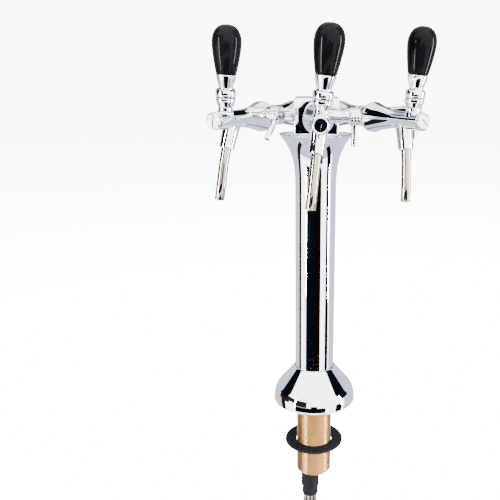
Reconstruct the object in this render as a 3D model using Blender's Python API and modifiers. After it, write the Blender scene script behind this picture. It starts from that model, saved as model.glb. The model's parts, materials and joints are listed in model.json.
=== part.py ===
"""Three-tap beer tower: a chromed column with a flared top, a manifold head and
three compensator taps, clamped through a counter by a threaded brass stem.

The counter plane is z = 0, the tower's axis is Z and the middle tap points to -Y.
All sizes below are millimetres; objects are built in metres.
Run with: blender --background --python part.py
"""
import math

import bmesh
import bpy
from mathutils import Matrix, Vector

MM = 0.001
GAP = 0.3                      # clearance between neighbouring pieces

# --- column, flare and base -------------------------------------------------
COLUMN_R = 25.0
COLUMN_WALL = 1.6
COLUMN_BOTTOM = 3.0
FLARE_TOP = 347.0
FLARE_LENGTH = 75.0
FLARE_R = 45.0
FLARE_POWER = 3.5              # how quickly the flare opens near its rim
PLATE_THICK = 2.6
BASE_R = 53.3
BASE_TOP = 48.0
BASE_BOTTOM = 0.4
BASE_SHOULDER_R = 47.6         # where the foot's straight flank starts to round over
BASE_SHOULDER_Z = 21.3
BASE_ROUND_Z = 14.5            # height of the corner that the rounding cuts off
BASE_RIM = 1.6
BASE_WALL = 3.0
GASKET_THICK = 2.2
GASKET_INNER_R = 27.0

# --- what passes through the counter ----------------------------------------
STEM_R = 23.0
STEM_BORE_R = 19.6
STEM_TOP = 30.0
STEM_BOTTOM = -108.0
STEM_CHAMFER = 1.5
WASHER_R = 38.5
WASHER_TOP = -61.5
WASHER_THICK = 3.0
SLEEVE_R = 12.4
SLEEVE_LOWER_R = 10.9
SLEEVE_BORE_R = 10.2
SLEEVE_TOP = -85.0
SLEEVE_STEP = -132.5
SLEEVE_STEP_LENGTH = 6.5
SLEEVE_BOTTOM = -148.0
TAIL_R = 4.5
TAIL_WALL = 0.8
TAIL_BOTTOM = -185.0
BUNDLE_X = -4.7                # the three beer lines hang a little to one side
BUNDLE_R = 5.4                 # from the bundle's centre to each line's centre
TAIL_RISE_X = 10.5             # where the outer lines rise in the column
TAIL_RISE_Y = 9.0
TAIL_FRONT_Y = -9.2            # where the middle line rises
TAIL_STUB = 2.0                # straight end that faces the shank

# --- manifold head -----------------------------------------------------------
TAP_HEIGHT = 371.6
HEAD_WIDTH = 52.0
HEAD_FRONT = 33.0              # from the column's axis to the front face
HEAD_BACK = 26.0
HEAD_TOP = 390.0
HEAD_EDGE = 2.5
HEAD_CAVITY_R = 22.0
HEAD_ROOF = 4.0
BOSS_ROOT_R = 14.6
BOSS_ROOT_U = 38.0             # where it starts to taper
BOSS_START_U = 8.0
BOSS_MIDDLE_R = 11.0
BOSS_MIDDLE_U = 64.0
BOSS_END_R = 10.8
BOSS_END_U = 80.0

# --- tap: distances u run outward along the tap's axis, heights from that axis -
TAP_SPREAD = 30.0              # degrees between neighbouring taps
TAP_SET_OUT = 9.0              # the outer taps' axes start this far aside of the column's
TAP_SET_BACK = 22.5            # and this far behind it
TAP_TURN = 1.2                 # the whole fan is turned this much to the right
TAP_LENGTH = 190.0
SHANK_R = 6.5
SHANK_BORE_R = 3.5
SHANK_START_U = 23.0
NUT_R = 11.3
NUT_START_U = 81.0
BODY_REAR_U = 99.0
BELL_R = 16.2
BELL_RIM_U = 107.0
BELL_END_U = 147.0
BELL_POWER = 1.65
BARREL_R = 9.0
BARREL_END_U = 186.0
BARREL_BORE_R = 6.2
CHAMBER_R = 10.5
CHAMBER_START_U = 101.5
CHAMBER_END_U = 120.0
SEAT_U = 143.0
CAP_R = 8.6
CAP_FACE_R = 7.0
CAP_SLOT_WIDTH = 1.3
CAP_SLOT_DEPTH = 0.9
CAP_PLUG_U = 180.0

NOZZLE_U = 156.0
NOZZLE_TILT = 14.0             # degrees forward of straight down
NOZZLE_LENGTH = 30.5
NOZZLE_ROOT_R = 8.9
NOZZLE_END_R = 7.9
NOZZLE_BORE_R = 5.5
SPOUT_R = 5.15
SPOUT_WALL = 0.9
SPOUT_START = 23.0             # how far down the nozzle its upper end sits
SPOUT_END_TILT = 5.0
SPOUT_BEND_LENGTH = 15.0
SPOUT_DROP = 82.5              # its tip, below the tap's axis

HANDLE_U = 170.0
HANDLE_LEAN = 5.0              # degrees forward of upright with the tap closed
PIVOT_H = 12.0
BALL_R = 5.2
BALL_SEAT_R = 5.6
LEVER_STEM_R = 3.0
LEVER_TOP = 46.0
FINGER_R = 1.6
FINGER_REACH = 11.0
BONNET_R = 7.2
BONNET_PAD_R = 8.2
BONNET_PAD_H = 8.8
CUP_BOTTOM = 2.0
CUP_TOP = 10.4
CUP_BOTTOM_R = 8.2
CUP_TOP_R = 9.9
CUP_CAVITY_R = 7.6
COLLAR_BOTTOM = 11.0
COLLAR_TOP = 18.4
COLLAR_R = 10.2
FERRULE_TOP = 33.0
FERRULE_BOTTOM_R = 7.0
FERRULE_TOP_R = 10.3
GRIP_WAIST_H = 61.5            # height of its widest ring
GRIP_TOP = 79.0
GRIP_R = 14.8
GRIP_BORE_TOP = 47.0

PLUNGER_GUIDE_R = 5.6
PLUNGER_STEM_R = 2.5
PLUNGER_HEAD_R = 5.2
SEAL_R = 5.9

FLOW_U = 129.0
FLOW_H = 5.0
FLOW_RISE = 5.0                # degrees that the side shaft points upward
FLOW_BOSS_R = 6.5
FLOW_BOSS_END = 22.3
FLOW_GLAND_R = 6.1
FLOW_GLAND_END = 29.4
FLOW_SHAFT_R = 2.9
FLOW_HEAD_R = 3.6
HUB_START = 30.0
HUB_END = 40.5
HUB_R = 9.3
ROD_R = 3.1
ROD_END = 29.5
ROD_HOLE_R = 1.7
COMPENSATOR_R = 9.2
COMPENSATOR_TRAVEL = 0.8       # millimetres of slide per radian of flow lever

# --- each tap's own setting, in degrees --------------------------------------
# name, steps round the fan, roll about its axis, flow lever forward of straight
# down, and how far its front cap is screwed round
TAPS = (
    ("left", -1, 7.0, 39.0, 0.0),
    ("centre", 0, 6.0, 0.0, 5.0),
    ("right", 1, 2.5, 0.0, -46.0),
)

ROUND_FINE = 24
ROUND = 16
ROUND_SMALL = 10

OUTWARD = Matrix.Rotation(math.radians(90), 4, "X")      # local Z becomes -Y
SIDEWAYS = Matrix.Rotation(math.radians(90), 4, "Y")     # local Z becomes +X


# --- scene, materials and objects ---------------------------------------------
def clear_scene():
    for obj in list(bpy.data.objects):
        bpy.data.objects.remove(obj, do_unlink=True)
    for collection in list(bpy.data.collections):
        bpy.data.collections.remove(collection)


def new_collection(name):
    collection = bpy.data.collections.new(name)
    bpy.context.scene.collection.children.link(collection)
    return collection


def principled(name, colour, roughness, metallic):
    material = bpy.data.materials.new(name)
    material.use_nodes = True
    shader = material.node_tree.nodes["Principled BSDF"]
    shader.inputs["Base Color"].default_value = (*colour, 1.0)
    shader.inputs["Roughness"].default_value = roughness
    shader.inputs["Metallic"].default_value = metallic
    return material


def empty(name, parent, matrix):
    obj = bpy.data.objects.new(name, None)
    obj.empty_display_size = 10 * MM
    parts.objects.link(obj)
    obj.parent = parent
    obj.matrix_local = matrix
    return obj


def piece(name, mesh, material, parent=None):
    """One named sub-part of the tower."""
    if not mesh.materials:
        mesh.materials.append(material)
    obj = bpy.data.objects.new(name, mesh)
    parts.objects.link(obj)
    obj.parent = parent
    return obj


def shift(x=0.0, y=0.0, z=0.0):
    return Matrix.Translation(Vector((x, y, z)) * MM)


# --- shapes: each maker returns a rough object in the workshop collection ------
def rough(name, data, place):
    obj = bpy.data.objects.new(name, data)
    obj.matrix_world = place
    obj.hide_render = True
    obj.display_type = "WIRE"
    workshop.objects.link(obj)
    return obj


def turned(outline, place=Matrix(), steps=ROUND):
    """A shape turned about local Z from (radius, height) points.

    The outline runs down the outer side. Where it starts and ends on the axis it
    makes a solid, and anywhere else it closes on itself and makes a ring.
    """
    mesh = bpy.data.meshes.new("outline")
    count = len(outline)
    edges = [(i, i + 1) for i in range(count - 1)]
    if outline[0][0] > 0:
        edges.append((count - 1, 0))
    mesh.from_pydata([(r * MM, 0.0, z * MM) for r, z in outline], edges, [])
    obj = rough("turned", mesh, place)
    screw = obj.modifiers.new("Screw", "SCREW")
    screw.axis = "Z"
    screw.steps = steps
    screw.render_steps = steps
    screw.use_merge_vertices = True
    screw.merge_threshold = 1e-6
    return obj


def block(width, depth, height, place, edge=0.0):
    """A box centred on its place, with rounded edges where edge is set."""
    mesh = bpy.data.meshes.new("block")
    cage = bmesh.new()
    bmesh.ops.create_cube(cage, size=1.0)
    bmesh.ops.scale(cage, vec=Vector((width, depth, height)) * MM, verts=cage.verts)
    cage.to_mesh(mesh)
    cage.free()
    obj = rough("block", mesh, place)
    if edge:
        bevel = obj.modifiers.new("Bevel", "BEVEL")
        bevel.width = edge * MM
        bevel.segments = 2
    return obj


def tube(points, radius, wall, roundness):
    """An open pipe along points, its wall inside the radius."""
    curve = bpy.data.curves.new("tube", "CURVE")
    curve.dimensions = "3D"
    curve.bevel_depth = radius * MM
    curve.bevel_resolution = roundness
    spline = curve.splines.new("POLY")
    spline.points.add(len(points) - 1)
    for point, position in zip(spline.points, points):
        point.co = (*(Vector(position) * MM), 1.0)
    obj = rough("tube", curve, Matrix())
    shell = obj.modifiers.new("Solidify", "SOLIDIFY")
    shell.thickness = wall * MM
    shell.offset = -1.0
    return obj


def finish(base, add=(), cut=()):
    """The base with pieces added and cut away, as a mesh in its parent's frame."""
    for operation, others in (("UNION", add), ("DIFFERENCE", cut)):
        for other in others:
            boolean = base.modifiers.new(operation.title(), "BOOLEAN")
            boolean.operation = operation
            boolean.object = other
            boolean.solver = "EXACT"
    bpy.context.view_layer.update()
    graph = bpy.context.evaluated_depsgraph_get()
    mesh = bpy.data.meshes.new_from_object(base.evaluated_get(graph))
    mesh.transform(base.matrix_world)
    surface = bmesh.new()
    surface.from_mesh(mesh)
    bmesh.ops.remove_doubles(surface, verts=surface.verts, dist=1e-6)
    surface.to_mesh(mesh)
    surface.free()
    mesh.shade_smooth()
    mesh.set_sharp_from_angle(angle=math.radians(35))
    for obj in (base, *add, *cut):
        bpy.data.objects.remove(obj, do_unlink=True)
    return mesh


def arc(centre_r, centre_z, radius, start, end, count):
    """Points on an arc in the (radius, height) plane; angles from +radius to +height."""
    angles = (math.radians(start + (end - start) * i / count) for i in range(count + 1))
    return [(centre_r + radius * math.cos(a), centre_z + radius * math.sin(a)) for a in angles]


# --- column, base and what hangs below ------------------------------------------
def flare_radius(z):
    """Outer radius of the column at a height; it opens towards the flare's rim."""
    rise = max(0.0, (z - FLARE_TOP + FLARE_LENGTH) / FLARE_LENGTH)
    return COLUMN_R + (FLARE_R - COLUMN_R) * rise ** FLARE_POWER


def column_mesh():
    count = 8
    heights = [FLARE_TOP - FLARE_LENGTH * i / count for i in range(count + 1)]
    heights.append(COLUMN_BOTTOM)
    outer = [(flare_radius(z), z) for z in heights]
    inner = [(r - COLUMN_WALL, z) for r, z in reversed(outer)]
    return finish(turned(outer + inner, steps=ROUND_FINE))


def flare_plate_mesh():
    bottom = FLARE_TOP - PLATE_THICK
    radius = flare_radius(bottom) - COLUMN_WALL - GAP
    bore = STEM_BORE_R
    return finish(turned([(radius, FLARE_TOP), (radius, bottom), (bore, bottom), (bore, FLARE_TOP)],
                         steps=ROUND_FINE))


def base_curve(inset, count=5):
    """The foot's profile from its top edge to its bottom rim, set in by a wall."""
    inner = COLUMN_R + GAP
    slope = (BASE_SHOULDER_R - inner) / (BASE_TOP - BASE_SHOULDER_Z)
    drop = 0.6 * inset
    shoulder = Vector((BASE_SHOULDER_R - inset, BASE_SHOULDER_Z - drop))
    corner = Vector((BASE_R - inset, BASE_ROUND_Z - drop))
    rim = Vector((BASE_R - inset, BASE_BOTTOM + BASE_RIM))
    points = [(inner, shoulder.y + (shoulder.x - inner) / slope)]
    for i in range(count + 1):
        t = i / count
        points.append(tuple((1 - t) ** 2 * shoulder + 2 * t * (1 - t) * corner + t * t * rim))
    points.append((BASE_R - inset, BASE_BOTTOM))
    return points


def base_cone_mesh():
    return finish(turned(base_curve(0.0) + base_curve(BASE_WALL)[::-1], steps=ROUND_FINE))


def base_gasket_mesh():
    outer = BASE_R - BASE_WALL - 2 * GAP
    return finish(turned([(outer, GASKET_THICK), (outer, 0), (GASKET_INNER_R, 0),
                          (GASKET_INNER_R, GASKET_THICK)], steps=ROUND_FINE))


def stem_mesh():
    edge = STEM_R - STEM_CHAMFER
    outline = [(edge, STEM_TOP), (STEM_R, STEM_TOP - STEM_CHAMFER),
               (STEM_R, STEM_BOTTOM + STEM_CHAMFER), (edge, STEM_BOTTOM),
               (STEM_BORE_R, STEM_BOTTOM), (STEM_BORE_R, STEM_TOP)]
    return finish(turned(outline, steps=ROUND_FINE))


def washer_mesh():
    inner = STEM_R + 2 * GAP
    bottom = WASHER_TOP - WASHER_THICK
    return finish(turned([(WASHER_R, WASHER_TOP), (WASHER_R, bottom), (inner, bottom),
                          (inner, WASHER_TOP)], steps=ROUND_FINE))


def sleeve_mesh():
    outline = [(SLEEVE_R, SLEEVE_TOP), (SLEEVE_R, SLEEVE_STEP),
               (SLEEVE_LOWER_R, SLEEVE_STEP - SLEEVE_STEP_LENGTH),
               (SLEEVE_LOWER_R, SLEEVE_BOTTOM),
               (SLEEVE_BORE_R, SLEEVE_BOTTOM), (SLEEVE_BORE_R, SLEEVE_TOP)]
    return finish(turned(outline, shift(x=BUNDLE_X)))


def smooth_path(knots, per_span):
    """Points of a Catmull-Rom curve through the knots."""
    knots = [Vector(k) for k in knots]
    ends = [2 * knots[0] - knots[1], *knots, 2 * knots[-1] - knots[-2]]
    points = []
    for a, b, c, d in zip(ends, ends[1:], ends[2:], ends[3:]):
        for i in range(per_span):
            t = i / per_span
            points.append(0.5 * (2 * b + (c - a) * t + (2 * a - 5 * b + 4 * c - d) * t * t
                                 + (3 * b - a - 3 * c + d) * t ** 3))
    points.append(knots[-1])
    return points


def tap_frame(step, roll=0.0):
    """The frame of a tap: origin where its axis starts, -Y outward, +Z up."""
    fan = Matrix.Rotation(math.radians(TAP_TURN), 4, "Z")
    start = shift(TAP_SET_OUT * step, TAP_SET_BACK * abs(step), TAP_HEIGHT)
    turn = Matrix.Rotation(math.radians(TAP_SPREAD * step), 4, "Z")
    return fan @ start @ turn @ Matrix.Rotation(math.radians(roll), 4, "Y")


def tail_mesh(step):
    """One beer line: up in the bundle, apart in the column, then out to its shank."""
    around = math.radians(-90 + 120 * step)
    low = Vector((BUNDLE_X + BUNDLE_R * math.cos(around), BUNDLE_R * math.sin(around), 0))
    high = Vector((TAIL_RISE_X * step, TAIL_RISE_Y if step else TAIL_FRONT_Y, 0))
    place = tap_frame(step)
    outward = place.to_3x3() @ Vector((0, -1, 0))
    target = place.translation / MM + outward * (SHANK_START_U - GAP)
    level = target - TAIL_STUB * outward
    knots = [low + Vector((0, 0, 60)), high + Vector((0, 0, 230)), high + Vector((0, 0, 335)),
             high + Vector((0, 0, TAP_HEIGHT - 14)),
             level - 3 * outward - Vector((0, 0, 0.6)), level]
    path = [low + Vector((0, 0, TAIL_BOTTOM)), *smooth_path(knots, 3), target]
    return finish(tube(path, TAIL_R, TAIL_WALL, 2))


# --- manifold head ---------------------------------------------------------------
def head_mesh():
    bottom = FLARE_TOP + GAP
    height = HEAD_TOP - bottom
    centre = shift(y=(HEAD_BACK - HEAD_FRONT) / 2, z=bottom + height / 2)
    cast = block(HEAD_WIDTH, HEAD_FRONT + HEAD_BACK, height, centre, HEAD_EDGE)
    roof = HEAD_TOP - HEAD_ROOF
    cavity = turned([(0, roof), (HEAD_CAVITY_R, roof), (HEAD_CAVITY_R, bottom - 5), (0, bottom - 5)])
    bosses = []
    bores = [cavity]
    bore = SHANK_R + GAP
    for step in (-1, 0, 1):
        place = tap_frame(step) @ OUTWARD
        bosses.append(turned([(0, BOSS_END_U), (BOSS_END_R - 0.8, BOSS_END_U),
                              (BOSS_END_R, BOSS_END_U - 0.8), (BOSS_MIDDLE_R, BOSS_MIDDLE_U),
                              (BOSS_ROOT_R, BOSS_ROOT_U), (BOSS_ROOT_R, BOSS_START_U),
                              (0, BOSS_START_U)], place))
        bores.append(turned([(0, BOSS_END_U + 5), (bore, BOSS_END_U + 5), (bore, 12), (0, 12)],
                            place, ROUND_SMALL))
    return finish(cast, bosses, bores)


# --- the tap's fixed pieces, in the tap's frame -------------------------------------
def shank_mesh():
    end = CHAMBER_START_U - 1
    return finish(turned([(SHANK_R, end), (SHANK_R, SHANK_START_U), (SHANK_BORE_R, SHANK_START_U),
                          (SHANK_BORE_R, end)], OUTWARD, ROUND_SMALL))


def coupling_nut_mesh():
    bore = SHANK_R + GAP
    end = BODY_REAR_U - 0.5
    edge = 1.2
    outline = [(NUT_R - edge, end), (NUT_R, end - edge), (NUT_R, NUT_START_U + edge),
               (NUT_R - edge, NUT_START_U), (bore, NUT_START_U), (bore, end)]
    return finish(turned(outline, OUTWARD))


def bell_radius(u):
    """Outer radius of the tap body where the bell narrows into the barrel."""
    s = (u - BELL_RIM_U) / (BELL_END_U - BELL_RIM_U)
    return BARREL_R + (BELL_R - BARREL_R) * (1 - s) ** BELL_POWER


def nozzle_place():
    tilt = Matrix.Rotation(math.radians(180 - NOZZLE_TILT), 4, "X")
    return shift(y=-NOZZLE_U) @ tilt


def flow_place():
    """Frame of the flow control: X along its shaft, out of the tap's side."""
    return shift(y=-FLOW_U, z=FLOW_H) @ Matrix.Rotation(math.radians(-FLOW_RISE), 4, "Y")


def body_mesh():
    count = 6
    bell = [BELL_END_U - (BELL_END_U - BELL_RIM_U) * i / count for i in range(count + 1)]
    outline = [(0, BARREL_END_U), (BARREL_R - 0.5, BARREL_END_U), (BARREL_R, BARREL_END_U - 0.5)]
    outline += [(bell_radius(u), u) for u in bell]
    outline += arc(BELL_R - 4.2, BELL_RIM_U - 3.0, 4.2, 25, -50, 3)
    outline += [(NUT_R, BODY_REAR_U), (0, BODY_REAR_U)]
    barrel = turned(outline, OUTWARD)
    nozzle = turned([(0, NOZZLE_LENGTH), (NOZZLE_END_R - 0.7, NOZZLE_LENGTH),
                     (NOZZLE_END_R, NOZZLE_LENGTH - 0.7), (NOZZLE_ROOT_R, 4), (0, 4)], nozzle_place())
    pad = turned([(0, BONNET_PAD_H), (BONNET_PAD_R, BONNET_PAD_H), (BONNET_PAD_R, 0), (0, 0)],
                 shift(y=-HANDLE_U))
    boss = turned([(0, FLOW_GLAND_END), (FLOW_GLAND_R - 0.6, FLOW_GLAND_END),
                   (FLOW_GLAND_R, FLOW_GLAND_END - 0.6), (FLOW_GLAND_R, FLOW_BOSS_END + 1),
                   (FLOW_GLAND_R - 1, FLOW_BOSS_END + 1), (FLOW_GLAND_R - 1, FLOW_BOSS_END),
                   (FLOW_BOSS_R, FLOW_BOSS_END), (FLOW_BOSS_R, 0), (0, 0)],
                  flow_place() @ SIDEWAYS, 14)
    rear_bore = SHANK_R + GAP
    bore = turned([(0, BARREL_END_U + 4), (BARREL_BORE_R, BARREL_END_U + 4), (BARREL_BORE_R, SEAT_U),
                   (CHAMBER_R, CHAMBER_END_U), (CHAMBER_R, CHAMBER_START_U),
                   (rear_bore, CHAMBER_START_U), (rear_bore, BODY_REAR_U - 4), (0, BODY_REAR_U - 4)],
                  OUTWARD, 14)
    nozzle_bore = turned([(0, NOZZLE_LENGTH + 4), (NOZZLE_BORE_R, NOZZLE_LENGTH + 4),
                          (NOZZLE_BORE_R, 2), (0, 2)], nozzle_place(), 12)
    ball_bore = turned([(0, BONNET_PAD_H + 4), (BALL_SEAT_R, BONNET_PAD_H + 4), (BALL_SEAT_R, 1), (0, 1)],
                       shift(y=-HANDLE_U), 12)
    shaft_bore = turned([(0, FLOW_GLAND_END + 4), (FLOW_SHAFT_R + 0.4, FLOW_GLAND_END + 4),
                         (FLOW_SHAFT_R + 0.4, 1), (0, 1)], flow_place() @ SIDEWAYS, ROUND_SMALL)
    return finish(barrel, (nozzle, pad, boss), (bore, nozzle_bore, ball_bore, shaft_bore))


def front_cap_mesh(screwed):
    face = TAP_LENGTH
    back = BARREL_END_U + GAP
    plug_r = BARREL_BORE_R - GAP
    outline = [(0, face), (CAP_FACE_R, face), (CAP_FACE_R + 0.3, face - 0.6), (CAP_R, face - 1.4),
               (CAP_R, back), (plug_r, back), (plug_r, CAP_PLUG_U), (0, CAP_PLUG_U)]
    slot = block(CAP_SLOT_WIDTH, 2 * CAP_SLOT_DEPTH, 3 * CAP_R,
                 shift(y=-face) @ Matrix.Rotation(math.radians(screwed), 4, "Y"))
    return finish(turned(outline, OUTWARD), cut=(slot,))


def bonnet_mesh():
    bottom = BONNET_PAD_H + GAP
    top = PIVOT_H + 1.0
    return finish(turned([(BONNET_R, top), (BONNET_R, bottom), (BALL_SEAT_R, bottom), (BALL_SEAT_R, top)],
                         shift(y=-HANDLE_U)))


def spout_mesh():
    """The pour tube: down the nozzle's line, then bending back towards the vertical."""
    def along(tilt):
        return Vector((0, -math.sin(math.radians(tilt)), -math.cos(math.radians(tilt))))

    point = Vector((0, -NOZZLE_U, 0)) + along(NOZZLE_TILT) * SPOUT_START
    points = [point]
    point = point + along(NOZZLE_TILT) * (NOZZLE_LENGTH - SPOUT_START + 2)
    points.append(point)
    bends = 4
    for i in range(bends):
        tilt = NOZZLE_TILT + (SPOUT_END_TILT - NOZZLE_TILT) * (i + 0.5) / bends
        point = point + along(tilt) * SPOUT_BEND_LENGTH / bends
        points.append(point)
    last = along(SPOUT_END_TILT)
    points.append(point + last * (point.z + SPOUT_DROP) / -last.z)
    return finish(tube(points, SPOUT_R, SPOUT_WALL, 3))


# --- the handle's pieces, in a frame on the ball's centre ----------------------------
def lever_mesh():
    shoulder = math.degrees(math.acos(LEVER_STEM_R / BALL_R))
    wrist = math.degrees(math.acos(FINGER_R / BALL_R))
    outline = [(0, LEVER_TOP), (LEVER_STEM_R, LEVER_TOP)]
    outline += arc(0, 0, BALL_R, shoulder, -wrist, 7)
    outline += [(FINGER_R, -FINGER_REACH), (0, -FINGER_REACH)]
    return finish(turned(outline, steps=ROUND_SMALL))


def cup_mesh():
    bore = LEVER_STEM_R + GAP
    low = math.degrees(math.asin(CUP_BOTTOM / CUP_CAVITY_R))
    high = math.degrees(math.acos(bore / CUP_CAVITY_R))
    outline = [(CUP_TOP_R - 0.6, CUP_TOP), (CUP_TOP_R, CUP_TOP - 0.6), (CUP_TOP_R, CUP_TOP - 2.6),
               (CUP_BOTTOM_R, CUP_BOTTOM)]
    outline += arc(0, 0, CUP_CAVITY_R, low, high, 4)
    outline += [(bore, CUP_TOP)]
    return finish(turned(outline))


def collar_mesh():
    bore = LEVER_STEM_R + GAP
    edge = 0.8
    outline = [(COLLAR_R - edge, COLLAR_TOP), (COLLAR_R, COLLAR_TOP - edge),
               (COLLAR_R, COLLAR_BOTTOM + edge), (COLLAR_R - edge, COLLAR_BOTTOM),
               (bore, COLLAR_BOTTOM), (bore, COLLAR_TOP)]
    return finish(turned(outline))


def ferrule_mesh():
    bore = LEVER_STEM_R + GAP
    bottom = COLLAR_TOP + GAP
    middle = (bottom + FERRULE_TOP) / 2
    outline = [(FERRULE_TOP_R, FERRULE_TOP), (FERRULE_TOP_R, FERRULE_TOP - 2),
               (FERRULE_BOTTOM_R + 1.2, middle), (FERRULE_BOTTOM_R, bottom + 2),
               (FERRULE_BOTTOM_R, bottom), (bore, bottom), (bore, FERRULE_TOP)]
    return finish(turned(outline))


def grip_mesh():
    bore = LEVER_STEM_R + GAP
    bottom = FERRULE_TOP + GAP
    dome = GRIP_TOP - GRIP_WAIST_H
    outline = [(0, GRIP_TOP)]
    for i in range(1, 6):
        angle = math.radians(90 * (1 - i / 5))
        outline.append((GRIP_R * math.cos(angle) ** 0.8, GRIP_WAIST_H + dome * math.sin(angle) ** 0.8))
    outline += [(GRIP_R - 0.6, GRIP_WAIST_H - 8), (FERRULE_TOP_R, bottom + 1),
                (FERRULE_TOP_R - 0.6, bottom), (bore, bottom), (bore, GRIP_BORE_TOP),
                (0, GRIP_BORE_TOP)]
    return finish(turned(outline))


# --- the valve's sliding pieces, in the tap's frame ----------------------------------
def plunger_mesh():
    outline = [(0, 178), (PLUNGER_GUIDE_R, 178), (PLUNGER_GUIDE_R, 163.5), (PLUNGER_STEM_R, 163),
               (PLUNGER_STEM_R, 145.2), (PLUNGER_HEAD_R, 145.2), (PLUNGER_HEAD_R, 141.5), (0, 141.5)]
    slot = block(2 * FINGER_R + 1.0, 7.2, 10, shift(y=-HANDLE_U - 0.4, z=3.0))
    return finish(turned(outline, OUTWARD, 14), cut=(slot,))


def seal_mesh():
    bore = PLUNGER_STEM_R + GAP
    return finish(turned([(SEAL_R, 148.5), (SEAL_R, 145.5), (bore, 145.5), (bore, 148.5)],
                         OUTWARD, ROUND_SMALL))


def compensator_mesh():
    outline = [(0, 124.5), (2, 124.5), (3, 123), (7, 122.4), (COMPENSATOR_R, 116),
               (COMPENSATOR_R, 105), (7, 103.5), (0, 103.5)]
    return finish(turned(outline, OUTWARD, 14))


# --- the flow control's pieces, in its own frame -------------------------------------
def flow_shaft_mesh():
    head = HUB_END + GAP
    outline = [(0, head + 2.2), (FLOW_HEAD_R - 1, head + 2.2), (FLOW_HEAD_R, head + 1.2),
               (FLOW_HEAD_R, head), (FLOW_SHAFT_R, head), (FLOW_SHAFT_R, -3), (0, -3)]
    socket = turned([(0, head + 3), (1.3, head + 3), (1.3, head + 1), (0, head + 1)], SIDEWAYS, 6)
    return finish(turned(outline, SIDEWAYS, ROUND_SMALL), cut=(socket,))


def flow_lever_mesh():
    bore = FLOW_SHAFT_R + GAP
    edge = 1.6
    outline = [(HUB_R - edge, HUB_END), (HUB_R, HUB_END - edge), (HUB_R, HUB_START + edge),
               (HUB_R - edge, HUB_START), (bore, HUB_START), (bore, HUB_END)]
    middle = (HUB_START + HUB_END) / 2
    down = shift(x=middle) @ Matrix.Rotation(math.radians(180), 4, "X")
    rod = turned([(0, ROD_END), (ROD_R - 0.5, ROD_END), (ROD_R, ROD_END - 0.5), (ROD_R, 5), (0, 5)],
                 down, ROUND_SMALL)
    hole = turned([(0, ROD_END + 2), (ROD_HOLE_R, ROD_END + 2), (ROD_HOLE_R, ROD_END - 6),
                   (0, ROD_END - 6)], down, 12)
    return finish(turned(outline, SIDEWAYS), (rod,), (hole,))


# --- assembly --------------------------------------------------------------------------
def build_tower():
    piece("column", column_mesh(), chrome)
    piece("flare_plate", flare_plate_mesh(), chrome)
    piece("base_cone", base_cone_mesh(), chrome)
    piece("base_gasket", base_gasket_mesh(), rubber)
    piece("threaded_stem", stem_mesh(), brass)
    piece("stem_washer", washer_mesh(), rubber)
    piece("line_sleeve", sleeve_mesh(), rubber)
    piece("manifold_head", head_mesh(), chrome)
    for name, step, *_ in TAPS:
        piece(f"beer_line_{name}", tail_mesh(step), steel)


def tap_meshes():
    """The meshes that all three taps share, with their materials and frames."""
    return {
        "shank": (shank_mesh(), steel, "tap"),
        "coupling_nut": (coupling_nut_mesh(), chrome, "tap"),
        "body": (body_mesh(), chrome, "tap"),
        "bonnet_ring": (bonnet_mesh(), chrome, "tap"),
        "spout": (spout_mesh(), steel, "tap"),
        "lever": (lever_mesh(), steel, "handle"),
        "lever_cup": (cup_mesh(), chrome, "handle"),
        "collar": (collar_mesh(), chrome, "handle"),
        "ferrule": (ferrule_mesh(), chrome, "handle"),
        "grip": (grip_mesh(), black, "handle"),
        "plunger": (plunger_mesh(), steel, "plunger"),
        "plunger_seal": (seal_mesh(), rubber, "plunger"),
        "compensator": (compensator_mesh(), white, "compensator"),
        "flow_shaft": (flow_shaft_mesh(), steel, "flow"),
        "flow_lever": (flow_lever_mesh(), chrome, "flow"),
    }


def build_taps():
    shared = tap_meshes()
    for name, step, roll, flow, screwed in TAPS:
        tap = empty(f"axis_tap_{name}", None, tap_frame(step, roll))
        closed = COMPENSATOR_TRAVEL * math.radians(flow)
        frames = {
            "tap": tap,
            "plunger": tap,
            "handle": empty(f"axis_handle_{name}", tap, shift(y=-HANDLE_U, z=PIVOT_H)
                            @ Matrix.Rotation(math.radians(HANDLE_LEAN), 4, "X")),
            "compensator": empty(f"axis_compensator_{name}", tap, shift(y=-closed)),
            "flow": empty(f"axis_flow_{name}", tap, flow_place()
                          @ Matrix.Rotation(math.radians(-flow), 4, "X")),
        }
        for part, (mesh, material, frame) in shared.items():
            piece(f"{name}_{part}", mesh, material, frames[frame])
        piece(f"{name}_front_cap", front_cap_mesh(screwed), chrome, tap)


clear_scene()
parts = new_collection("beer_tap_tower")
workshop = new_collection("workshop")
chrome = principled("chrome", (0.80, 0.81, 0.84), 0.05, 1.0)
steel = principled("stainless_steel", (0.62, 0.60, 0.58), 0.25, 1.0)
brass = principled("brass", (0.80, 0.58, 0.33), 0.30, 1.0)
rubber = principled("black_rubber", (0.03, 0.03, 0.035), 0.75, 0.0)
black = principled("black_plastic", (0.01, 0.01, 0.012), 0.12, 0.0)
white = principled("white_plastic", (0.75, 0.75, 0.72), 0.40, 0.0)
build_tower()
build_taps()
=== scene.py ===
"""A three-tap beer tower: fine turned, cast and piped skins over its plain solids.

Each skin stands for one solid at the same size and rides on that solid's body.
Lengths in the shape functions are millimetres and become metres in the meshes.
"""
import json
import math

import bmesh
import bpy
import numpy as np
from mathutils import Matrix, Vector


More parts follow.
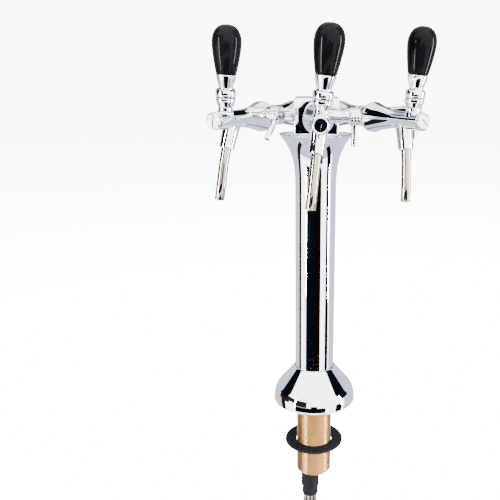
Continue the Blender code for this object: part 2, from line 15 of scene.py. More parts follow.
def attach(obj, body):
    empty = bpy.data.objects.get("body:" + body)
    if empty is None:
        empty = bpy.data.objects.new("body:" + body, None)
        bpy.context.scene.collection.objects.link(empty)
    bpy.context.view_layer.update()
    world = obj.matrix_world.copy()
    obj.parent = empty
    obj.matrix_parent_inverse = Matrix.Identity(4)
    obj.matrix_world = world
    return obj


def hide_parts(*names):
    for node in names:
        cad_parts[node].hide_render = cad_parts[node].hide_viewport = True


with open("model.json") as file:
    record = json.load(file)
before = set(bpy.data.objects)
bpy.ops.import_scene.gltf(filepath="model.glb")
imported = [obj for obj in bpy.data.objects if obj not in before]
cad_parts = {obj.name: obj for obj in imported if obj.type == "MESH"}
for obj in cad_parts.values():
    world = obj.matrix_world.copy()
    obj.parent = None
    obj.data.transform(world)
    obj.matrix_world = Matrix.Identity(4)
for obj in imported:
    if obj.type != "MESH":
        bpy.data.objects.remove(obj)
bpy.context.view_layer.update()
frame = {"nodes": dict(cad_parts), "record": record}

MM = 0.001
SEGMENTS = 96                   # round each turned piece
SMALL = 48                      # round the smaller ones
LARGE = 128                     # round the column and the foot
EDGE = 0.45                     # usual rounding of a machined edge

TAP_HEIGHT = 371.6
TAP_TURN = 1.2
TAP_SPREAD = 30.0
TAP_SET_OUT = 9.0
TAP_SET_BACK = 22.5
HANDLE_U, PIVOT_H, HANDLE_LEAN = 170.0, 12.0, 5.0
FLOW_U, FLOW_H, FLOW_RISE = 129.0, 5.0, 5.0
NOZZLE_U, NOZZLE_TILT = 156.0, 14.0
SPOUT_R, SPOUT_WALL, SPOUT_DROP = 5.15, 0.9, 82.5
SPOUT_BEND = 9.0                # degrees that the spout straightens by
HANDLE_BORE_R = 3.3             # bore of every piece on the lever's stem
GRIP_R, GRIP_TAPER = 14.45, 4.15
FLARE_TOP, FLARE_LENGTH, FLARE_R, FLARE_POWER = 347.0, 75.0, 45.0, 3.5
COLUMN_R, COLUMN_WALL = 25.0, 1.6
STEM_R, STEM_BORE_R = 23.0, 19.6
FOOT_R, SHOULDER_R, SHOULDER_Z, FOOT_CORNER_Z = 53.3, 47.6, 21.3, 14.5
BUNDLE_X, BUNDLE_R = -4.7, 5.4
LINE_R, LINE_WALL = 4.5, 0.8
TAIL_RISE_X, TAIL_RISE_Y, TAIL_FRONT_Y, TAIL_STUB = 10.5, 9.0, -9.2, 2.0
LINE_END_U = 22.7               # how far along a tap's axis its beer line ends
# side, steps round the fan, roll, flow lever forward, front cap's turn
TAPS = (
    ("left", -1, 7.0, 39.0, 0.0),
    ("centre", 0, 6.0, 0.0, 5.0),
    ("right", 1, 2.5, 0.0, -46.0),
)

OUTWARD = Matrix.Rotation(math.radians(90), 4, "X")
SIDEWAYS = Matrix.Rotation(math.radians(90), 4, "Y")


def shift(x=0.0, y=0.0, z=0.0):
    return Matrix.Translation(Vector((x, y, z)) * MM)


def tap_frame(step, roll=0.0):
    """The frame of a tap: origin where its axis starts, -Y outward, +Z up."""
    fan = Matrix.Rotation(math.radians(TAP_TURN), 4, "Z")
    start = shift(TAP_SET_OUT * step, TAP_SET_BACK * abs(step), TAP_HEIGHT)
    turn = Matrix.Rotation(math.radians(TAP_SPREAD * step), 4, "Z")
    return fan @ start @ turn @ Matrix.Rotation(math.radians(roll), 4, "Y")


def nozzle_place():
    return shift(y=-NOZZLE_U) @ Matrix.Rotation(math.radians(180 - NOZZLE_TILT), 4, "X")


def flow_place():
    return shift(y=-FLOW_U, z=FLOW_H) @ Matrix.Rotation(math.radians(-FLOW_RISE), 4, "Y")


# --- meshes ---------------------------------------------------------------------------
def soften(points, radius=EDGE, steps=4):
    """Rounds the corners of an outline and adds a support point beside each."""
    pts = [Vector(p) for p in points]
    ring = pts[0].x > 1e-6
    out = []
    count = len(pts)
    for i, p in enumerate(pts):
        if not ring and i in (0, count - 1):
            out.append(p)
            continue
        a = pts[i - 1]
        b = pts[(i + 1) % count]
        before = p - a
        after = b - p
        turn = before.angle(after, 0.0)
        if turn < math.radians(18):
            out.append(p)
            continue
        reach = min(radius * math.tan(turn / 2), 0.42 * before.length, 0.42 * after.length)
        d1 = before.normalized()
        d2 = after.normalized()
        start = p - d1 * reach
        end = p + d2 * reach
        spare = min(0.25, 0.12 * before.length)
        out.append(start - d1 * spare)
        for k in range(steps + 1):
            t = k / steps
            out.append((1 - t) ** 2 * start + 2 * t * (1 - t) * p + t * t * end)
        spare = min(0.25, 0.12 * after.length)
        out.append(end + d2 * spare)
    return [tuple(p) for p in out]


def settle(mesh, angle=40):
    mesh.validate()
    surface = bmesh.new()
    surface.from_mesh(mesh)
    bmesh.ops.remove_doubles(surface, verts=surface.verts, dist=2e-7)
    bmesh.ops.dissolve_degenerate(surface, edges=surface.edges, dist=1e-8)
    bmesh.ops.recalc_face_normals(surface, faces=surface.faces)
    surface.to_mesh(mesh)
    surface.free()
    mesh.shade_smooth()
    mesh.set_sharp_from_angle(angle=math.radians(angle))
    return mesh


def grid_mesh(rings, closed):
    """Rings of equal point counts joined in order, the last to the first if closed."""
    rings = np.asarray(rings)
    rows, cols = rings.shape[:2]
    faces = []
    for r in range(rows if closed else rows - 1):
        s = (r + 1) % rows
        for c in range(cols):
            d = (c + 1) % cols
            faces.append((r * cols + c, r * cols + d, s * cols + d, s * cols + c))
    mesh = bpy.data.meshes.new("skin")
    mesh.from_pydata((rings.reshape(-1, 3) * MM).tolist(), [], faces)
    return mesh


def turned(outline, segments=SEGMENTS, round_to=EDGE):
    """A shape turned about Z. An outline that starts off the axis closes on itself."""
    ring = outline[0][0] > 1e-6
    if round_to:
        outline = soften(outline, round_to)
    angles = np.arange(segments) * 2 * math.pi / segments
    rings = [[(r * math.cos(a), r * math.sin(a), z) for a in angles] for r, z in outline]
    return settle(grid_mesh(rings, ring))


def pipe(points, radius, wall, sides=28, lip=0.35):
    """An open pipe along points, with rounded lips at both ends."""
    pts = [Vector(p) for p in points]
    tangents = [(pts[min(i + 1, len(pts) - 1)] - pts[max(i - 1, 0)]).normalized()
                for i in range(len(pts))]
    across = tangents[0].orthogonal().normalized()
    frames = []
    for tangent in tangents:
        across = (across - tangent * across.dot(tangent)).normalized()
        frames.append((across.copy(), tangent.cross(across)))
    first = pts[0] + tangents[0] * lip
    last = pts[-1] - tangents[-1] * lip
    middle = radius - wall / 2
    stations = [(pts[0], 0, middle + wall * 0.3), (first, 0, radius)]
    stations += [(pts[i], i, radius) for i in range(1, len(pts) - 1)]
    stations += [(last, -1, radius), (pts[-1], -1, middle + wall * 0.3),
                 (pts[-1], -1, middle - wall * 0.3), (last, -1, radius - wall)]
    stations += [(pts[i], i, radius - wall) for i in range(len(pts) - 2, 0, -1)]
    stations += [(first, 0, radius - wall), (pts[0], 0, middle - wall * 0.3)]
    rings = []
    for centre, i, r in stations:
        u, v = frames[i]
        rings.append([tuple(centre + (u * math.cos(a) + v * math.sin(a)) * r)
                      for a in np.arange(sides) * 2 * math.pi / sides])
    return settle(grid_mesh(rings, True), 60)


def block(width, depth, height, place, edge=0.0):
    mesh = bpy.data.meshes.new("block")
    cage = bmesh.new()
    bmesh.ops.create_cube(cage, size=1.0)
    bmesh.ops.scale(cage, vec=Vector((width, depth, height)) * MM, verts=cage.verts)
    if edge:
        bmesh.ops.bevel(cage, geom=cage.edges[:] + cage.verts[:], offset=edge * MM,
                        segments=5, profile=0.5, affect="EDGES")
    cage.transform(place)
    cage.to_mesh(mesh)
    cage.free()
    return mesh


def placed(mesh, place):
    mesh.transform(place)
    return mesh


def combined(base, operation, others):
    """The base mesh after one Boolean operation with each of the others."""
    base = bpy.data.objects.new("rough", base)
    bpy.context.scene.collection.objects.link(base)
    made = [base]
    for mesh in others:
        other = bpy.data.objects.new("rough", mesh)
        bpy.context.scene.collection.objects.link(other)
        made.append(other)
        boolean = base.modifiers.new(operation, "BOOLEAN")
        boolean.operation = operation
        boolean.object = other
        boolean.solver = "EXACT"
    graph = bpy.context.evaluated_depsgraph_get()
    mesh = bpy.data.meshes.new_from_object(base.evaluated_get(graph))
    for obj in made:
        bpy.data.objects.remove(obj, do_unlink=True)
    return mesh


def joined(base, add=(), cut=(), angle=32):
    """The base with others added, then cut once by all the cutters merged as one."""
    mesh = combined(base, "UNION", add)
    if cut:
        mesh = combined(mesh, "DIFFERENCE", [combined(cut[0], "UNION", cut[1:])])
    mesh.materials.clear()
    return settle(mesh, angle)


def arc(r0, z0, radius, start, end, count):
    angles = (math.radians(start + (end - start) * i / count) for i in range(count + 1))
    return [(r0 + radius * math.cos(a), z0 + radius * math.sin(a)) for a in angles]


# --- materials --------------------------------------------------------------------------
class Nodes:
    """Short ways to add and join shader nodes."""

    def __init__(self, name):
        self.material = bpy.data.materials.new(name)
        self.material.use_nodes = True
        self.tree = self.material.node_tree
        self.shader = self.tree.nodes["Principled BSDF"]
        self.place = self.add("ShaderNodeTexCoord").outputs["Object"]

    def add(self, kind, **inputs):
        node = self.tree.nodes.new(kind)
        for key, value in inputs.items():
            node.inputs[key].default_value = value
        return node

    def join(self, output, target):
        self.tree.links.new(output, target)

    def stretched(self, scale):
        mapping = self.add("ShaderNodeMapping")
        mapping.inputs["Scale"].default_value = scale
        self.join(self.place, mapping.inputs["Vector"])
        return mapping.outputs["Vector"]

    def noise(self, scale, detail=3.0, source=None, roughness=0.55):
        node = self.add("ShaderNodeTexNoise", Scale=scale, Detail=detail, Roughness=roughness)
        self.join(source or self.place, node.inputs["Vector"])
        return node.outputs["Fac"]

    def ramp(self, source, stops):
        node = self.add("ShaderNodeValToRGB")
        ramp = node.color_ramp
        while len(ramp.elements) < len(stops):
            ramp.elements.new(0.5)
        for element, (position, colour) in zip(ramp.elements, stops):
            element.position = position
            element.color = (*colour, 1.0)
        self.join(source, node.inputs["Fac"])
        return node.outputs["Color"]

    def span(self, source, low, high, start=0.3, end=0.7):
        node = self.add("ShaderNodeMapRange")
        limits = (("From Min", start), ("From Max", end), ("To Min", low), ("To Max", high))
        for key, value in limits:
            node.inputs[key].default_value = value
        self.join(source, node.inputs["Value"])
        return node.outputs["Result"]

    def bump(self, source, distance, strength):
        node = self.add("ShaderNodeBump", Strength=strength, Distance=distance)
        self.join(source, node.inputs["Height"])
        return node.outputs["Normal"]

    def set(self, **values):
        names = {"base": "Base Color", "rough": "Roughness", "metal": "Metallic",
                 "normal": "Normal", "specular": "Specular IOR Level"}
        for key, value in values.items():
            socket = self.shader.inputs[names[key]]
            if isinstance(value, bpy.types.NodeSocket):
                self.join(value, socket)
            else:
                socket.default_value = value
        return self.material


def chrome_material():
    n = Nodes("polished_chrome")
    cloud = n.noise(28.0, 2.0)
    wipes = n.noise(9.0, 4.0, n.stretched((1.0, 1.0, 6.0)))
    tint = n.ramp(cloud, [(0.35, (0.86, 0.87, 0.90)), (0.65, (0.90, 0.90, 0.92))])
    peel = n.bump(n.noise(160.0, 2.0), 0.000002, 0.02)
    return n.set(base=tint, metal=1.0, rough=n.span(wipes, 0.018, 0.055), normal=peel)


def steel_material():
    n = Nodes("drawn_stainless")
    cloud = n.noise(35.0, 3.0)
    drawn = n.noise(60.0, 4.0, n.stretched((14.0, 14.0, 0.7)))
    tint = n.ramp(cloud, [(0.3, (0.33, 0.28, 0.22)), (0.7, (0.42, 0.37, 0.31))])
    return n.set(base=tint, metal=1.0, rough=n.span(drawn, 0.07, 0.17),
                 normal=n.bump(drawn, 0.00003, 0.12))


def brass_material():
    n = Nodes("machined_brass")
    cloud = n.noise(22.0, 4.0)
    rings = n.noise(30.0, 3.0, n.stretched((0.4, 0.4, 40.0)))
    tint = n.ramp(cloud, [(0.25, (0.30, 0.145, 0.042)), (0.55, (0.40, 0.205, 0.068)),
                          (0.8, (0.48, 0.26, 0.095))])
    return n.set(base=tint, metal=1.0, rough=n.span(rings, 0.24, 0.42),
                 normal=n.bump(rings, 0.00005, 0.25))


def rubber_material():
    n = Nodes("moulded_rubber")
    speck = n.noise(600.0, 4.0)
    cloud = n.noise(45.0, 3.0)
    tint = n.ramp(cloud, [(0.3, (0.0012, 0.0013, 0.0018)), (0.7, (0.0028, 0.0030, 0.0040))])
    pores = n.bump(speck, 0.00008, 0.35)
    return n.set(base=tint, rough=n.span(speck, 0.50, 0.72), normal=pores, specular=0.08)


def grip_material():
    n = Nodes("gloss_black_plastic")
    cloud = n.noise(24.0, 3.0)
    wear = n.noise(48.0, 4.0, roughness=0.6)
    tint = n.ramp(cloud, [(0.3, (0.0004, 0.0004, 0.0005)), (0.7, (0.0010, 0.0010, 0.0012))])
    flow = n.bump(n.noise(55.0, 2.0), 0.00003, 0.03)
    return n.set(base=tint, rough=n.span(wear, 0.10, 0.15), normal=flow, specular=0.04)


def valve_plastic_material():
    n = Nodes("moulded_white_plastic")
    cloud = n.noise(60.0, 3.0)
    tint = n.ramp(cloud, [(0.3, (0.62, 0.61, 0.57)), (0.7, (0.72, 0.71, 0.68))])
    return n.set(base=tint, rough=n.span(cloud, 0.32, 0.45), normal=n.bump(cloud, 0.0001, 0.1))


MATERIALS = {
    "chrome": chrome_material(),
    "stainless_steel": steel_material(),
    "brass": brass_material(),
    "black_rubber": rubber_material(),
    "black_plastic": grip_material(),
    "white_plastic": valve_plastic_material(),
}


def show(node, mesh, slot, body, place=Matrix()):
    """A fine skin that stands for a CAD node and rides on its body."""
    mesh = mesh.copy()
    mesh.transform(place)
    mesh.materials.append(MATERIALS[slot])
    obj = bpy.data.objects.new(f"{node}_skin", mesh)
    bpy.context.scene.collection.objects.link(obj)
    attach(obj, body)
    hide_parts(node)


# --- column, base and what passes the counter ---------------------------------------------
def flare_radius(z):
    rise = max(0.0, (z - FLARE_TOP + FLARE_LENGTH) / FLARE_LENGTH)
    return COLUMN_R + (FLARE_R - COLUMN_R) * rise ** FLARE_POWER


def column_skin():
    heights = [FLARE_TOP - FLARE_LENGTH * i / 44 for i in range(45)]
    heights += [250.0, 220.0, 190.0, 150.0, 110.0, 70.0, 49.0, 20.0, 3.0]
    outer = [(flare_radius(z), z) for z in heights]
    inner = [(r - COLUMN_WALL, z) for r, z in reversed(outer)]
    return turned(outer + inner, LARGE, 0.6)


def plate_skin():
    """The flare's floor plate: a shallow dish with a raised land under the head."""
    top, bottom = FLARE_TOP, FLARE_TOP - 2.6
    r = flare_radius(bottom) - COLUMN_WALL - 0.3
    outline = [(r, top - 0.5), (r, bottom), (STEM_BORE_R, bottom), (STEM_BORE_R, top - 0.05),
               (38.5, top - 0.05), (39.3, top - 0.9), (r - 1.4, top - 0.9), (r - 0.9, top - 0.5)]
    return turned(outline[::-1], LARGE, 0.25)


def base_curve(inset, low, count):
    """The foot's profile: a straight flank that rounds over to an upright rim."""
    inner = COLUMN_R + 0.3
    slope = (SHOULDER_R - inner) / (48.0 - SHOULDER_Z)
    drop = 0.6 * inset
    shoulder = Vector((SHOULDER_R - inset, SHOULDER_Z - drop))
    corner = Vector((FOOT_R - inset, FOOT_CORNER_Z - drop))
    rim = Vector((FOOT_R - inset, low))
    top = shoulder.y + (shoulder.x - inner) / slope
    points = [(inner, top)]
    for i in range(1, 12):
        t = i / 12
        points.append((inner + (shoulder.x - inner) * t, top + (shoulder.y - top) * t))
    for i in range(count + 1):
        t = i / count
        points.append(tuple((1 - t) ** 2 * shoulder + 2 * t * (1 - t) * corner + t * t * rim))
    return points


def base_skin():
    """The bell-shaped foot, with a fine bead round its rim."""
    outer = base_curve(0.35, 2.6, 28)
    r, z = outer[0]
    outer = [(r, z - 0.8), (r + 0.15, z - 0.3), (r + 0.55, z - 0.45)] + outer[1:]
    rim = [(52.95, 2.2), (53.2, 2.0), (FOOT_R, 1.7), (FOOT_R, 0.9), (53.2, 0.6), (52.9, 0.4)]
    inner = [(50.3, 0.4)] + base_curve(3.0, 2.0, 16)[::-1]
    return turned(outer + rim + inner, LARGE, 0)


def gasket_skin():
    return turned([(49.7, 2.2), (49.7, 0.0), (27.0, 0.0), (27.0, 2.2)], SEGMENTS, 0.4)


def stem_skin():
    """A tube with a helical thread cut down its outside and chamfered ends."""
    pitch, depth = 1.6, 0.42
    low, high = -108.0, 30.0
    chamfer = 1.5
    per_turn = 7
    rows = int((high - low) / pitch * per_turn)
    sides = 64
    rings = []
    for i in range(rows + 1):
        z = high - (high - low) * i / rows
        ring = []
        for k in range(sides):
            a = 2 * math.pi * k / sides
            phase = (z / pitch + k / sides) % 1.0
            cut = depth * (0.5 - 0.5 * math.cos(2 * math.pi * phase)) ** 1.3
            r = min(STEM_R - cut, STEM_R - chamfer + min(high - z, z - low))
            ring.append((r * math.cos(a), r * math.sin(a), z))
        rings.append(ring)
    angles = [2 * math.pi * k / sides for k in range(sides)]
    for r, z in ((STEM_BORE_R + 0.5, low), (STEM_BORE_R, low + 0.5), (STEM_BORE_R, high - 0.5),
                 (STEM_BORE_R + 0.5, high)):
        rings.append([(r * math.cos(a), r * math.sin(a), z) for a in angles])
    return settle(grid_mesh(rings, True), 50)


def washer_skin():
    return turned([(38.5, -61.5), (38.5, -64.5), (23.6, -64.5), (23.6, -61.5)], SEGMENTS, 0.8)


def sleeve_skin():
    """Insulating foam sleeve: slightly wavy, and necked where it grips the lines."""
    outline = [(12.0, -85.0)]
    for i in range(1, 24):
        z = -85.0 - 47.5 * i / 24
        outline.append((12.15 + 0.22 * math.sin(z * 0.55) * math.sin(z * 0.17), z))
    outline += [(12.2, -132.5), (11.6, -135.4), (10.85, -138.6), (10.75, -143.0), (10.85, -147.0),
                (10.6, -148.0), (10.2, -148.0), (10.2, -85.0)]
    return turned(outline, 64, 0.3)


def smooth_path(knots, per_span):
    """Points on a smooth curve through every knot."""
    knots = [Vector(k) for k in knots]
    ends = [2 * knots[0] - knots[1], *knots, 2 * knots[-1] - knots[-2]]
    points = []
    for a, b, c, d in zip(ends, ends[1:], ends[2:], ends[3:]):
        for i in range(per_span):
            t = i / per_span
            points.append(0.5 * (2 * b + (c - a) * t + (2 * a - 5 * b + 4 * c - d) * t * t
                                 + (3 * b - a - 3 * c + d) * t ** 3))
    points.append(knots[-1])
    return points


def beer_line_skin(step):
    """A beer line from its cut lower end, up the column and into its shank."""
    around = math.radians(-90 + 120 * step)
    low = Vector((BUNDLE_X + BUNDLE_R * math.cos(around), BUNDLE_R * math.sin(around), 0))
    high = Vector((TAIL_RISE_X * step, TAIL_RISE_Y if step else TAIL_FRONT_Y, 0))
    place = tap_frame(step)
    outward = place.to_3x3() @ Vector((0, -1, 0))
    target = place.translation / MM + outward * LINE_END_U
    level = target - outward * TAIL_STUB
    points = [low + Vector((0, 0, z)) for z in (-185.0, -150.0, -100.0, -50.0, 0.0)]
    points += smooth_path([low + Vector((0, 0, 60)), high + Vector((0, 0, 230)),
                           high + Vector((0, 0, 335)), high + Vector((0, 0, TAP_HEIGHT - 14)),
                           level - outward * 3.0 - Vector((0, 0, 0.6)), level], 8)
    points.append(target)
    return pipe(points, LINE_R, LINE_WALL, 32)


# --- manifold head -----------------------------------------------------------------------
def head_skin():
    """The cast block, its three necked bosses and the hollow that the lines pass."""
    bottom, top = FLARE_TOP + 0.3, 390.0
    cast = block(52.0, 59.0, top - bottom, shift(y=-3.5, z=(bottom + top) / 2), 2.5)
    hollow = turned([(0, top - 4), (22.0, top - 4), (22.0, bottom - 5), (0, bottom - 5)], 64, 0)
    bosses, holes = [], [hollow]
    for step in (-1, 0, 1):
        place = tap_frame(step) @ OUTWARD
        flank = [(14.6, 8.0), (14.6, 38.0), (13.7, 42.5), (12.75, 48.0), (12.0, 53.0), (11.45, 58.0),
                 (11.1, 63.0), (10.95, 68.0), (10.9, 74.0)]
        outline = [(0, 8.0)] + flank + [(10.8, 79.2), (10.6, 79.7), (10.2, 80.0), (0, 80.0)]
        bosses.append(placed(turned(outline[::-1], SEGMENTS, 0), place))
        holes.append(placed(turned([(0, 85), (6.8, 85), (6.8, 12), (0, 12)], 32, 0), place))
    return joined(cast, bosses, holes)


# --- the tap's fixed pieces, in the tap's frame ----------------------------------------------
def nut_skin():
    """Coupling nut: a plain ring with a waist groove."""
    outline = [(10.1, 98.5), (11.3, 97.3), (11.3, 91.2), (10.9, 90.6), (10.9, 89.4), (11.3, 88.8),
               (11.3, 82.2), (10.1, 81.0), (6.8, 81.0), (6.8, 98.5)]
    return placed(turned(outline, 80, 0.3), OUTWARD)


def bell_radius(u):
    s = (u - 107.0) / 40.0
    return 9.0 + 7.2 * (1 - s) ** 1.65


def body_skin():
    """Bell, barrel, nozzle, bonnet pad and side boss in one bored casting."""
    outline = [(0, 186.0), (8.5, 186.0), (9.0, 185.5), (9.0, 175.0), (9.0, 160.0)]
    outline += [(bell_radius(u), u) for u in (147.0 - 40.0 * i / 20 for i in range(21))]
    outline += arc(12.0, 104.0, 4.2, 30, -60, 8)
    outline += [(12.6, 99.6), (11.9, 99.0), (0, 99.0)]
    barrel = placed(turned(outline, SEGMENTS, 0), OUTWARD)
    nozzle_line = [(0, 30.5), (7.1, 30.5), (7.75, 30.1), (7.95, 29.6), (7.95, 28.2), (8.3, 18.0),
                   (8.75, 10.0), (9.3, 4.0), (0, 4.0)]
    nozzle = placed(turned(nozzle_line, 64, 0), nozzle_place())
    pad = placed(turned([(0, 8.8), (7.6, 8.8), (8.0, 8.6), (8.2, 8.1), (8.2, 0), (0, 0)], 64, 0),
                 shift(y=-HANDLE_U))
    boss_line = [(0, 29.4), (5.5, 29.4), (6.0, 29.1), (6.1, 28.7), (6.1, 24.2), (5.9, 23.6),
                 (5.1, 23.3), (5.1, 22.5), (6.1, 22.3), (6.4, 22.0), (6.5, 21.5), (6.6, 12.0), (6.9, 0),
                 (0, 0)]
    boss = placed(turned(boss_line, SMALL, 0), flow_place() @ SIDEWAYS)
    bore = placed(turned([(0, 190), (6.2, 190), (6.2, 143), (10.5, 120), (10.5, 101.5), (6.8, 101.5),
                          (6.8, 95), (0, 95)], SMALL, 0), OUTWARD)
    nozzle_bore = placed(turned([(0, 34.5), (5.5, 34.5), (5.5, 2), (0, 2)], SMALL, 0), nozzle_place())
    ball_bore = placed(turned([(0, 12.8), (5.6, 12.8), (5.6, 1), (0, 1)], SMALL, 0),
                       shift(y=-HANDLE_U))
    shaft_bore = placed(turned([(0, 33.4), (3.3, 33.4), (3.3, 1), (0, 1)], 32, 0),
                        flow_place() @ SIDEWAYS)
    return joined(barrel, (nozzle, pad, boss), (nozzle_bore, ball_bore, shaft_bore, bore))


def cap_skin(screwed):
    """Front cap: a recessed, slotted face inside a raised rounded ring."""
    outline = [(0, 189.55), (5.0, 189.55), (6.1, 189.55), (6.35, 189.56), (6.4, 189.58),
               (6.75, 189.7), (7.0, 189.95), (7.3, 189.95), (7.65, 189.8), (8.0, 189.3),
               (8.35, 188.9), (8.43, 188.5), (8.43, 186.8), (8.2, 186.35), (5.9, 186.3),
               (5.9, 180.0), (0, 180.0)]
    groove = (shift(y=-189.75) @ Matrix.Rotation(math.radians(screwed), 4, "Y")
              @ Matrix.Rotation(math.radians(45), 4, "Z"))
    slot = block(1.35, 1.35, 12.4, groove)
    return joined(placed(turned(outline, SEGMENTS, 0), OUTWARD), cut=(slot,))


def bonnet_skin():
    return placed(turned([(7.2, 13.0), (7.2, 9.1), (5.6, 9.1), (5.6, 13.0)], SMALL, 0.35),
                  shift(y=-HANDLE_U))


def spout_skin():
    """The pour tube: out of the nozzle, through a slight bend, then straight."""
    def along(tilt):
        return Vector((0, -math.sin(math.radians(tilt)), -math.cos(math.radians(tilt))))

    point = Vector((0, -NOZZLE_U, 0)) + along(NOZZLE_TILT) * 23.0
    points = [point, point + along(NOZZLE_TILT) * 5.0]
    point = point + along(NOZZLE_TILT) * 9.5
    points.append(point)
    for i in range(12):
        point = point + along(NOZZLE_TILT - SPOUT_BEND * (i + 0.5) / 12) * 15.0 / 12
        points.append(point)
    last = along(NOZZLE_TILT - SPOUT_BEND)
    length = (point.z + SPOUT_DROP) / -last.z
    points += [point + last * length * 0.5, point + last * length]
    return pipe(points, SPOUT_R, SPOUT_WALL, 40, 0.3)


# --- the handle's pieces, in a frame on the ball's centre -------------------------------------
def cup_skin():
    bore, cavity = HANDLE_BORE_R, 7.6
    low = math.degrees(math.asin(2.0 / cavity))
    high = math.degrees(math.acos(bore / cavity))
    outline = [(9.2, 10.4), (9.9, 9.9), (9.9, 7.2), (9.6, 6.2), (8.9, 4.4), (8.45, 2.9), (8.2, 2.0)]
    outline += arc(0, 0, cavity, low, high, 12)
    outline += [(bore, 10.4)]
    return turned(outline, 64, 0.35)


def collar_skin():
    """Lock collar with a bulging flank."""
    bore = HANDLE_BORE_R
    flank = [(10.2 - 0.75 * abs(t) ** 2.4, 14.7 + 3.7 * t)
             for t in (1.0, 0.7, 0.4, 0.0, -0.4, -0.7, -1.0)]
    return turned([(8.4, 18.4)] + flank + [(8.8, 11.0), (bore, 11.0), (bore, 18.4)], 64, 0.25)


def ferrule_skin():
    """Conical ferrule that swells up to the grip and rolls into a foot."""
    bore, bottom, top = HANDLE_BORE_R, 18.7, 33.0
    flank = []
    for i in range(13):
        t = i / 12
        flank.append((10.3 - 3.7 * t ** 1.15 + 0.9 * max(0.0, t - 0.85) * 6.0 * (t - 0.85) * 6.0,
                      top - 0.6 - (top - 0.6 - bottom) * t))
    return turned([(9.9, top)] + flank + [(bore, bottom), (bore, top)], 64, 0.25)


def grip_skin():
    """Long pear-shaped grip, widest near its domed end."""
    bore, bottom, top, waist = HANDLE_BORE_R, 33.3, 78.84, 61.5
    outline = [(0, top)]
    for i in range(1, 21):
        a = math.radians(90 * (1 - i / 20))
        outline.append((GRIP_R * math.cos(a) ** 0.85, waist + (top - waist) * math.sin(a) ** 0.85))
    for i in range(1, 17):
        t = i / 16
        outline.append((GRIP_R - GRIP_TAPER * t ** 1.45, waist - (waist - bottom - 0.8) * t))
    outline += [(10.0, bottom + 0.3), (9.6, bottom), (bore, bottom), (bore, 47.0), (0, 47.0)]
    return turned(outline, SEGMENTS, 0)


# --- the flow control's pieces, in its own frame ----------------------------------------------
def flow_shaft_skin():
    outline = [(0, 43.0), (2.6, 43.0), (3.2, 42.6), (3.6, 41.9), (3.6, 40.8), (2.9, 40.8), (2.9, -3.0),
               (0, -3.0)]
    socket = placed(turned([(0, 44), (1.45, 44), (1.45, 41.4), (0, 41.2)], 6, 0), SIDEWAYS)
    return joined(placed(turned(outline, 40, 0), SIDEWAYS), cut=(socket,))


def flow_lever_skin():
    """Hub with two turned grooves and a drilled rod."""
    outline = [(8.0, 40.5), (8.9, 40.1), (9.3, 39.2), (9.3, 37.6), (8.9, 37.2), (8.9, 36.6),
               (9.3, 36.2), (9.3, 34.3), (8.9, 33.9), (8.9, 33.3), (9.3, 32.9), (9.3, 31.4),
               (8.9, 30.4), (8.0, 30.0), (3.2, 30.0), (3.2, 40.5)]
    down = shift(x=35.25) @ Matrix.Rotation(math.radians(180), 4, "X")
    rod = placed(turned([(0, 29.5), (2.5, 29.5), (2.95, 29.2), (3.1, 28.7), (3.1, 12.0), (3.5, 9.5),
                         (3.9, 5), (0, 5)], 40, 0), down)
    hole = placed(turned([(0, 31.5), (1.7, 31.5), (1.7, 23.5), (0, 22.8)], 24, 0), down)
    return joined(placed(turned(outline, 64, 0.25), SIDEWAYS), (rod,), (hole,))


# --- put the skins in place -------------------------------------------------------------------
show("column", column_skin(), "chrome", "tower")
show("flare_plate", plate_skin(), "chrome", "tower")
show("base_cone", base_skin(), "chrome", "tower")
show("base_gasket", gasket_skin(), "black_rubber", "tower")
show("threaded_stem", stem_skin(), "brass", "tower")
show("stem_washer", washer_skin(), "black_rubber", "tower")
show("line_sleeve", sleeve_skin(), "black_rubber", "tower", shift(x=BUNDLE_X))
show("manifold_head", head_skin(), "chrome", "tower")
shared = {
    "coupling_nut": (nut_skin(), "chrome", "tap", "tower"),
    "body": (body_skin(), "chrome", "tap", "tower"),
    "bonnet_ring": (bonnet_skin(), "chrome", "tap", "tower"),
    "spout": (spout_skin(), "stainless_steel", "tap", "tower"),
    "lever_cup": (cup_skin(), "chrome", "handle", "handle"),
    "collar": (collar_skin(), "chrome", "handle", "handle"),
    "ferrule": (ferrule_skin(), "chrome", "handle", "handle"),
    "grip": (grip_skin(), "black_plastic", "handle", "handle"),
    "flow_shaft": (flow_shaft_skin(), "stainless_steel", "flow", "flow_control"),
    "flow_lever": (flow_lever_skin(), "chrome", "flow", "flow_control"),
}
for side, step, roll, flow, screwed in TAPS:
    show(f"beer_line_{side}", beer_line_skin(step), "stainless_steel", "tower")
    tap = tap_frame(step, roll)
    lean = Matrix.Rotation(math.radians(HANDLE_LEAN), 4, "X")
    places = {
        "tap": tap,
        "handle": tap @ shift(y=-HANDLE_U, z=PIVOT_H) @ lean,
        "flow": tap @ flow_place() @ Matrix.Rotation(math.radians(-flow), 4, "X"),
    }
    for part, (mesh, slot, where, body) in shared.items():
        body = body if body == "tower" else f"{side}_{body}"
        show(f"{side}_{part}", mesh, slot, body, places[where])
    show(f"{side}_front_cap", cap_skin(screwed), "chrome", "tower", tap)

for name, node in frame["nodes"].items():
    if node.material_slots and not node.hide_render:
        slot = next(s["material_slot"] for s in frame["record"]["subparts"] if s["node"] == name)
        node.material_slots[0].link = "OBJECT"
        node.material_slots[0].material = MATERIALS[slot]


# --- floor, light and camera ---------------------------------------------------------------------
FLOOR_Z = -0.187                # just below the beer lines' cut ends
FLOOR_HALF = 9                  # half the floor's side
FLOOR_GLOW = 7.0


